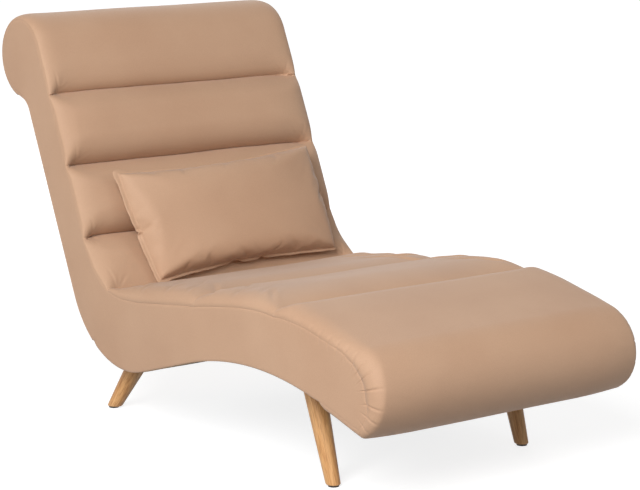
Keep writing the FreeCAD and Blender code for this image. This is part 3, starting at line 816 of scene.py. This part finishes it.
def cushion_shape(places):
    """Scaled to the real size, its left end leaning and its front fuller than its back."""
    size = places.max(0) - places.min(0)
    places = places - (places.max(0) + places.min(0)) / 2
    places[:, 0] *= (CUSHION_WIDTH - 2 * CUSHION_EDGE) / size[0]
    places[:, 1] *= (CUSHION_HEIGHT - 2 * CUSHION_EDGE) / size[1]
    end = np.clip(-2 * places[:, 0] / CUSHION_WIDTH, 0, 1) ** 2
    lower = np.clip(0.5 - places[:, 1] / CUSHION_HEIGHT, 0, 1)
    places[:, 0] += end * (LEAN_IN * lower - LEAN_OUT * (1 - lower))
    high, low = places[:, 2].max(), places[:, 2].min()
    front = places[:, 2] > 0
    places[front, 2] = CUSHION_FRONT * (places[front, 2] / high) ** CUSHION_FULLNESS
    places[~front, 2] = -CUSHION_BACK * (places[~front, 2] / low) ** CUSHION_FULLNESS
    return places


def to_cushion_place(points):
    turn = Matrix.Rotation(CUSHION_LEAN, 3, "X") @ Matrix.Rotation(CUSHION_ROLL, 3, "Z")
    return points @ np.array(turn).T + np.array(CUSHION_CENTRE)


def smoothed_ring(values, passes):
    for _ in range(passes):
        values = 0.5 * values + 0.25 * (np.roll(values, 1, axis=0) + np.roll(values, -1, axis=0))
    return values


# The sewn edge's section, from inside the seam outwards: distance out, half thickness
EDGE_HALF = [(-0.0050, 0.0036), (-0.0018, 0.0018), (0.0003, 0.0006), (0.0020, 0.0015),
             (0.75 * CUSHION_EDGE, 0.0014), (0.96 * CUSHION_EDGE, 0.0009), (CUSHION_EDGE, 0.0)]
EDGE_SECTION = EDGE_HALF + [(out, -high) for out, high in EDGE_HALF[-2::-1]]
# Its waves all round, its puckers at the viewer's left, and its unevenness in width
EDGE_WAVE = 0.0012
EDGE_PUCKER = 0.0016
EDGE_UNEVEN = 0.3
# How much wider it is at the left end and at the left corners, and narrower at the top and right
EDGE_WIDER = 0.9
EDGE_NARROWER = 0.7
CORNER_REACH = 0.035


def unit(vectors):
    return vectors / np.linalg.norm(vectors, axis=1)[:, None]


def sewn_edge(places, ids):
    """A flat edge of two layers round the seam, pinched at its stitching and slightly wavy."""
    rim, front, back = (places[list(column)] for column in zip(*ids))
    out = unit(smoothed_ring(rim - (front + back) / 2, 2))
    run = unit(np.roll(rim, -1, axis=0) - np.roll(rim, 1, axis=0))
    up = unit(np.cross(run, out))
    rng = np.random.default_rng(8)
    count = len(rim)
    across, high = 2 * rim[:, 0] / CUSHION_WIDTH, 2 * rim[:, 1] / CUSHION_HEIGHT
    left_end = np.clip(-across, 0, 1) ** 4
    narrow = np.maximum(np.clip(high, 0, 1) ** 6, np.clip(across, 0, 1) ** 8)
    off_x = CUSHION_WIDTH / 2 - np.abs(rim[:, 0])
    off_y = CUSHION_HEIGHT / 2 - np.abs(rim[:, 1])
    corner = np.exp(-((off_x + off_y) / CORNER_REACH) ** 2) * (across < 0)
    wave = smoothed_ring(rng.uniform(-1, 1, count), 4) * EDGE_WAVE
    wave += smoothed_ring(rng.uniform(-1, 1, count), 1) * EDGE_PUCKER * left_end
    stretch = 1 + EDGE_UNEVEN * smoothed_ring(rng.uniform(-1, 1, count), 3)
    stretch *= 1 + EDGE_WIDER * (left_end + corner)
    stretch *= 1 - EDGE_NARROWER * narrow * (1 - corner)
    points = []
    for k in range(count):
        for along, half in EDGE_SECTION:
            reach = along * stretch[k] if along > 0 else along
            lift = half + wave[k] * np.clip(along / CUSHION_EDGE, 0, 1)
            points.append(rim[k] + out[k] * reach + up[k] * lift)
    ring = len(EDGE_SECTION)
    faces = []
    for k in range(count):
        here, ahead = k * ring, (k + 1) % count * ring
        for j in range(ring):
            after = (j + 1) % ring
            faces.append((here + j, here + after, ahead + after, ahead + j))
    return np.array(points), faces


def subdivide(piece):
    piece.modifiers.new("smooth", "SUBSURF").levels = 1
    piece.modifiers["smooth"].render_levels = 1
    graph = bpy.context.evaluated_depsgraph_get()
    mesh = bpy.data.meshes.new_from_object(piece.evaluated_get(graph))
    piece.modifiers.clear()
    piece.data = mesh


def make_cushion():
    points, faces, ids = cushion_grid()
    body = mesh_from("lumbar_cushion_cover", points, faces)
    places = cushion_shape(inflate(body, CUSHION_FRAMES))
    edge_points, edge_faces = sewn_edge(places, ids)
    body.data.vertices.foreach_set("co", to_cushion_place(places).ravel())
    body.data.update()
    subdivide(body)
    edge = mesh_from("lumbar_cushion_edge", to_cushion_place(edge_points), edge_faces)
    subdivide(edge)
    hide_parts("cushion_cover", "cushion_filling")
    for piece in (body, edge):
        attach(piece, "cushion")
    return [body, edge]


# Legs: tapered, splayed, cut level at the floor with a rounded rim
LEG_FOOT_RADIUS = 0.016
LEG_TOP_RADIUS = 0.0265
# Where each leg's axis meets the floor, and how far it goes along X and Y per metre of height
LEGS = {
    "front_leg_left": (-0.268, -0.475, 0.0, 0.337), "front_leg_right": (0.268, -0.475, 0.0, 0.337),
    "rear_leg_left": (-0.293, 0.367, 0.25, -0.56), "rear_leg_right": (0.293, 0.367, -0.25, -0.56),
}
# The rounded rim: height over the foot, change of radius
FOOT_ROUND = [(0.0, -0.0022), (0.0004, -0.0010), (0.0014, -0.0003), (0.003, 0.0)]
LEG_ROUND_END = 0.010
LEG_TOP_GAP = 0.010
LEG_RINGS = 40
LEG_SIDES = 64


def leg_faces(rings):
    """Faces of a tube of rings, closed by the two middle points that follow the rings."""
    faces = []
    total = rings * LEG_SIDES
    last = total - LEG_SIDES
    for k in range(LEG_SIDES):
        after = (k + 1) % LEG_SIDES
        for base in range(0, last, LEG_SIDES):
            faces.append((base + k, base + after, base + LEG_SIDES + after, base + LEG_SIDES + k))
        faces.append((total, after, k))
        faces.append((total + 1, last + k, last + after))
    return faces


def make_leg(name):
    foot_x, foot_y, rise_x, rise_y = LEGS[name]
    low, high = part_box(name)
    foot, top = low[2], high[2] - LEG_TOP_GAP
    stretch = math.hypot(1, rise_x, rise_y)
    tilt = math.atan2(rise_y, rise_x)
    heights = [(foot + lift, inset) for lift, inset in FOOT_ROUND]
    heights += [(z, 0.0) for z in np.linspace(foot + LEG_ROUND_END, top, LEG_RINGS)]
    points, grain = [], []
    for z, inset in heights:
        taper = (z - foot) / (top - foot)
        radius = LEG_FOOT_RADIUS + (LEG_TOP_RADIUS - LEG_FOOT_RADIUS) * taper + inset
        for k in range(LEG_SIDES):
            angle = 2 * math.pi * k / LEG_SIDES
            a, b = radius * math.cos(angle), radius * math.sin(angle)
            x = foot_x + rise_x * z + a * stretch * math.cos(tilt) - b * math.sin(tilt)
            y = foot_y + rise_y * z + a * stretch * math.sin(tilt) + b * math.cos(tilt)
            points.append((x, y, z))
            grain.append((a, b, z * stretch))
    for z, _ in (heights[0], heights[-1]):
        points.append((foot_x + rise_x * z, foot_y + rise_y * z, z))
        grain.append((0, 0, z * stretch))
    piece = mesh_from(name + "_oak", points, leg_faces(len(heights)))
    along = piece.data.attributes.new("grain", "FLOAT_VECTOR", "POINT")
    along.data.foreach_set("vector", np.array(grain).ravel() + 0.37 * list(LEGS).index(name))
    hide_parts(name)
    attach(piece, "lounge")
    return piece


# Camera, at the photograph's place: which way it lies from the object, its place and its lens
CAMERA_AZIMUTH = math.radians(-36.9286)
CAMERA_ELEVATION = math.radians(10.6983)
CAMERA_PLACE = (-3.0673, -4.1513, 1.3947)
CAMERA_LENS = 126.94


def make_camera():
    data = bpy.data.cameras.new("camera")
    camera = bpy.data.objects.new("camera", data)
    bpy.context.scene.collection.objects.link(camera)
    level = math.cos(CAMERA_ELEVATION)
    back = Vector((math.sin(CAMERA_AZIMUTH) * level, -math.cos(CAMERA_AZIMUTH) * level,
                   math.sin(CAMERA_ELEVATION)))
    camera.location = CAMERA_PLACE
    camera.rotation_mode = "QUATERNION"
    camera.rotation_quaternion = (-back).to_track_quat("-Z", "Y")
    data.sensor_width = 36.0
    data.lens = CAMERA_LENS
    data.clip_end = 60.0
    bpy.context.scene.camera = camera


make_camera()


# Materials
def new_material(name):
    material = bpy.data.materials.new(name)
    material.use_nodes = True
    return material, material.node_tree, material.node_tree.nodes["Principled BSDF"]


def linear(r, g, b):
    """An sRGB colour of 0-255 as the shader's linear one."""
    values = []
    for v in (r, g, b):
        v /= 255
        values.append(v / 12.92 if v <= 0.04045 else ((v + 0.055) / 1.055) ** 2.4)
    return (*values, 1.0)


def new_node(tree, kind, inputs, **settings):
    """A new shader node: each input is given a value, or linked where it is another's output."""
    made = tree.nodes.new("ShaderNode" + kind)
    for name, value in settings.items():
        setattr(made, name, value)
    fill(tree, made, inputs)
    return made


def fill(tree, made, inputs):
    for name, value in inputs.items():
        if isinstance(value, bpy.types.NodeSocket):
            tree.links.new(value, made.inputs[name])
        else:
            made.inputs[name].default_value = value


def object_place(tree):
    return new_node(tree, "TexCoord", {}).outputs["Object"]


def mapped(tree, source, low, high, to_low, to_high, curve="SMOOTHSTEP"):
    inputs = {"Value": source, "From Min": low, "From Max": high, "To Min": to_low, "To Max": to_high}
    return new_node(tree, "MapRange", inputs, interpolation_type=curve).outputs["Result"]


def math_node(tree, operation, first, second):
    return new_node(tree, "Math", {0: first, 1: second}, operation=operation).outputs[0]


def noise_node(tree, source, scale, detail=2.0, stretch=(1, 1, 1)):
    place = new_node(tree, "Mapping", {"Vector": source, "Scale": stretch}).outputs["Vector"]
    return new_node(tree, "TexNoise", {"Vector": place, "Scale": scale, "Detail": detail}).outputs["Fac"]


def cell_node(tree, source, scale, feature="F1"):
    inputs = {"Vector": source, "Scale": scale}
    return new_node(tree, "TexVoronoi", inputs, feature=feature).outputs["Distance"]


def ramp_node(tree, source, *stops):
    ramp = new_node(tree, "ValToRGB", {"Fac": source})
    elements = ramp.color_ramp.elements
    while len(elements) < len(stops):
        elements.new(0.5)
    for element, (position, colour) in zip(elements, stops):
        element.position = position
        element.color = linear(*colour)
    return ramp.outputs["Color"]


def multiplied(tree, colour, by, share):
    inputs = {"Factor": share, 6: colour, 7: by}
    return new_node(tree, "Mix", inputs, data_type="RGBA", blend_type="MULTIPLY").outputs[2]


def bump_node(tree, source, strength, distance, under=None):
    inputs = {"Height": source, "Strength": strength, "Distance": distance}
    if under is not None:
        inputs["Normal"] = under
    return new_node(tree, "Bump", inputs).outputs["Normal"]


def leatherette():
    """Smooth leatherette: faint patches of tone and gloss, and a fine pebbled grain."""
    material, tree, shader = new_material("leatherette")
    place = object_place(tree)
    patches = noise_node(tree, place, 5.0, 4.0)
    tint = ramp_node(tree, patches, (0.3, (187, 149, 120)), (0.7, (194, 157, 128)))
    cells = cell_node(tree, place, 620.0, "DISTANCE_TO_EDGE")
    pores = mapped(tree, cells, 0.0, 0.22, 0.0, 1.0, "LINEAR")
    pebbles = bump_node(tree, pores, 0.16, 0.0004)
    fill(tree, shader, {
        "Base Color": multiplied(tree, tint, pores, 0.10),
        "Roughness": mapped(tree, patches, 0.0, 1.0, 0.66, 0.78, "LINEAR"),
        "Normal": bump_node(tree, noise_node(tree, place, 1400.0), 0.10, 0.0002, pebbles),
        "Specular IOR Level": 0.5, "Sheen Weight": 0.2, "Sheen Roughness": 0.4,
    })
    return material


def oak():
    """Lacquered oak: fine pores and wider streaks along the leg."""
    material, tree, shader = new_material("oak")
    place = new_node(tree, "Attribute", {}, attribute_name="grain").outputs["Vector"]
    bands = noise_node(tree, place, 90.0, 3.0, (1, 1, 0.05))
    pores = noise_node(tree, place, 700.0, 3.0, (1, 1, 0.025))
    colour = ramp_node(tree, bands, (0.30, (184, 128, 72)), (0.50, (210, 158, 102)),
                       (0.72, (224, 176, 122)))
    fine = ramp_node(tree, pores, (0.36, (176, 140, 106)), (0.52, (255, 255, 255)))
    fill(tree, shader, {
        "Base Color": multiplied(tree, colour, fine, 0.5),
        "Roughness": mapped(tree, pores, 0.3, 0.7, 0.52, 0.38),
        "Normal": bump_node(tree, pores, 0.25, 0.0003),
    })
    return material


def plain_wood(name, dark, light, stretch):
    """Unfinished wood, its streaks stretched along one direction."""
    material, tree, shader = new_material(name)
    streaks = noise_node(tree, object_place(tree), 40.0, 4.0, stretch)
    colour = ramp_node(tree, streaks, (0.32, dark), (0.68, light))
    bump = bump_node(tree, streaks, 0.3, 0.0005)
    fill(tree, shader, {"Base Color": colour, "Roughness": 0.78, "Normal": bump})
    return material


def foam():
    material, tree, shader = new_material("foam")
    place = object_place(tree)
    tone = noise_node(tree, place, 6.0)
    colour = ramp_node(tree, tone, (0.3, (226, 214, 176)), (0.7, (238, 228, 194)))
    bump = bump_node(tree, cell_node(tree, place, 420.0), 0.6, 0.0008)
    fill(tree, shader, {"Base Color": colour, "Roughness": 0.95, "Normal": bump})
    return material


def fibres(name, dark, light, scale):
    """Felted or non-woven cloth."""
    material, tree, shader = new_material(name)
    threads = noise_node(tree, object_place(tree), scale, 5.0)
    colour = ramp_node(tree, threads, (0.35, dark), (0.65, light))
    bump = bump_node(tree, threads, 0.5, 0.0006)
    fill(tree, shader, {"Base Color": colour, "Roughness": 0.95, "Sheen Weight": 0.1, "Normal": bump})
    return material


def woven(name, dark, light, pitch):
    """Plain weave of the underside's lining and the webbing: pitch is from thread to thread."""
    material, tree, shader = new_material(name)
    inputs = {"Vector": object_place(tree), "Scale": 0.314 / pitch, "Distortion": 0.4}
    waves = [new_node(tree, "TexWave", inputs, bands_direction=axis).outputs["Fac"] for axis in ("X", "Y")]
    weave = math_node(tree, "MULTIPLY", *waves)
    colour = ramp_node(tree, weave, (0.1, dark), (0.6, light))
    bump = bump_node(tree, weave, 0.5, 0.0004)
    fill(tree, shader, {"Base Color": colour, "Roughness": 0.85, "Normal": bump})
    return material


def metal():
    material, tree, shader = new_material("zinc_plated_steel")
    spots = noise_node(tree, object_place(tree), 260.0, 3.0)
    colour = ramp_node(tree, spots, (0.3, (168, 170, 174)), (0.7, (196, 198, 202)))
    rough = mapped(tree, spots, 0.3, 0.7, 0.30, 0.42)
    fill(tree, shader, {"Base Color": colour, "Metallic": 1.0, "Roughness": rough})
    return material


def hard_plastic():
    material, tree, shader = new_material("glide_plastic")
    spots = noise_node(tree, object_place(tree), 900.0)
    colour = ramp_node(tree, spots, (0.3, (42, 34, 28)), (0.7, (52, 43, 36)))
    bump = bump_node(tree, spots, 0.2, 0.0002)
    fill(tree, shader, {"Base Color": colour, "Roughness": 0.55, "Normal": bump})
    return material


LEATHER = leatherette()
OAK = oak()
LINING = woven("lining_cloth", (16, 16, 17), (34, 34, 36), 0.0011)
INNER = {
    "plywood": plain_wood("birch_plywood", (198, 164, 120), (226, 198, 156), (3.0, 0.2, 0.2)),
    "softwood": plain_wood("spruce", (206, 172, 120), (230, 204, 158), (0.12, 0.12, 1.0)),
    "foam": foam(),
    "felt": fibres("felt", (106, 106, 102), (150, 150, 146), 340.0),
    "webbing": woven("webbing", (40, 34, 28), (86, 74, 60), 0.0024),
    "steel": metal(),
    "glide": hard_plastic(),
}
for index in range(len(PADS)):
    make_pad(index).data.materials.append(LEATHER)
make_rear().data.materials.append(LEATHER)
make_underside().data.materials.append(LINING)
for side, word in ((-1, "left"), (1, "right")):
    make_side(side, "side_cover_" + word).data.materials.append(LEATHER)
for piece in make_cushion():
    piece.data.materials.append(LEATHER)
for name in LEGS:
    make_leg(name).data.materials.append(OAK)

# The pieces inside keep their shapes and get a finish for each material slot
for row in frame["record"]["subparts"]:
    if row["material_slot"] in INNER:
        node = frame["nodes"][row["node"]]
        for slot in node.material_slots:
            slot.material = INNER[row["material_slot"]]


# Stage: a floor that the camera sees as white and that keeps a light shadow round the object
FLOOR_TONE = 0.36
FLOOR_GLOW = (0.81, 1.0)
FLOOR_FADE = (1.0, 4.0)
# The world's light from the horizon and from above, and how bright reflections see both
AMBIENT = (0.26, 0.14)
MIRRORED = (1.0, 0.35)
AIM = (0, 0, 0.4)


def make_floor():
    bpy.ops.mesh.primitive_plane_add(size=60, location=(0, 0, 0))
    floor = bpy.context.object
    floor.name = "floor"
    material, tree, shader = new_material("floor")
    tone = (FLOOR_TONE, FLOOR_TONE, FLOOR_TONE, 1)
    fill(tree, shader, {"Base Color": tone, "Roughness": 1.0, "Specular IOR Level": 0.0})
    far = new_node(tree, "VectorMath", {0: object_place(tree)}, operation="LENGTH").outputs["Value"]
    rays = new_node(tree, "LightPath", {}).outputs
    seen = math_node(tree, "MAXIMUM", rays["Is Camera Ray"], rays["Is Glossy Ray"])
    white = math_node(tree, "MULTIPLY", seen, mapped(tree, far, *FLOOR_FADE, *FLOOR_GLOW))
    glow = new_node(tree, "Emission", {"Strength": white})
    both = new_node(tree, "AddShader", {0: shader.outputs[0], 1: glow.outputs[0]})
    fill(tree, tree.nodes["Material Output"], {"Surface": both.outputs[0]})
    floor.data.materials.append(material)


def make_world():
    world = bpy.data.worlds.new("studio")
    bpy.context.scene.world = world
    world.use_nodes = True
    tree = world.node_tree
    direction = new_node(tree, "TexCoord", {}).outputs["Generated"]
    height = new_node(tree, "SeparateXYZ", {0: direction}).outputs["Z"]
    rays = new_node(tree, "LightPath", {}).outputs
    seen = math_node(tree, "MAXIMUM", rays["Is Camera Ray"], rays["Is Transmission Ray"])
    mirrored = mapped(tree, height, 0.25, 0.85, *MIRRORED)
    white = new_node(tree, "Background", {"Strength": math_node(tree, "MAXIMUM", seen, mirrored)})
    shown = math_node(tree, "MAXIMUM", seen, rays["Is Glossy Ray"])
    ambient = tree.nodes["Background"]
    strength = mapped(tree, height, 0.0, 0.9, *AMBIENT)
    fill(tree, ambient, {"Color": (1, 1, 1, 1), "Strength": strength})
    mix = new_node(tree, "MixShader", {0: shown, 1: ambient.outputs[0], 2: white.outputs[0]})
    fill(tree, tree.nodes["World Output"], {"Surface": mix.outputs[0]})


def add_lamp(name, place, size, power):
    data = bpy.data.lights.new(name, "AREA")
    data.shape = "DISK"
    data.size = size
    data.energy = power
    lamp = bpy.data.objects.new(name, data)
    bpy.context.scene.collection.objects.link(lamp)
    lamp.location = place
    lamp.rotation_mode = "QUATERNION"
    lamp.rotation_quaternion = (Vector(AIM) - Vector(place)).to_track_quat("-Z", "Y")


make_floor()
make_world()
add_lamp("key", (-4.3, -3.0, 3.9), 3.6, 412)
add_lamp("left", (-5.0, 0.8, 1.3), 2.4, 31)
add_lamp("front", (0.8, -4.4, 2.6), 2.0, 26)
add_lamp("back", (2.0, 3.0, 3.0), 2.4, 42)

bpy.context.scene.view_settings.view_transform = "Standard"
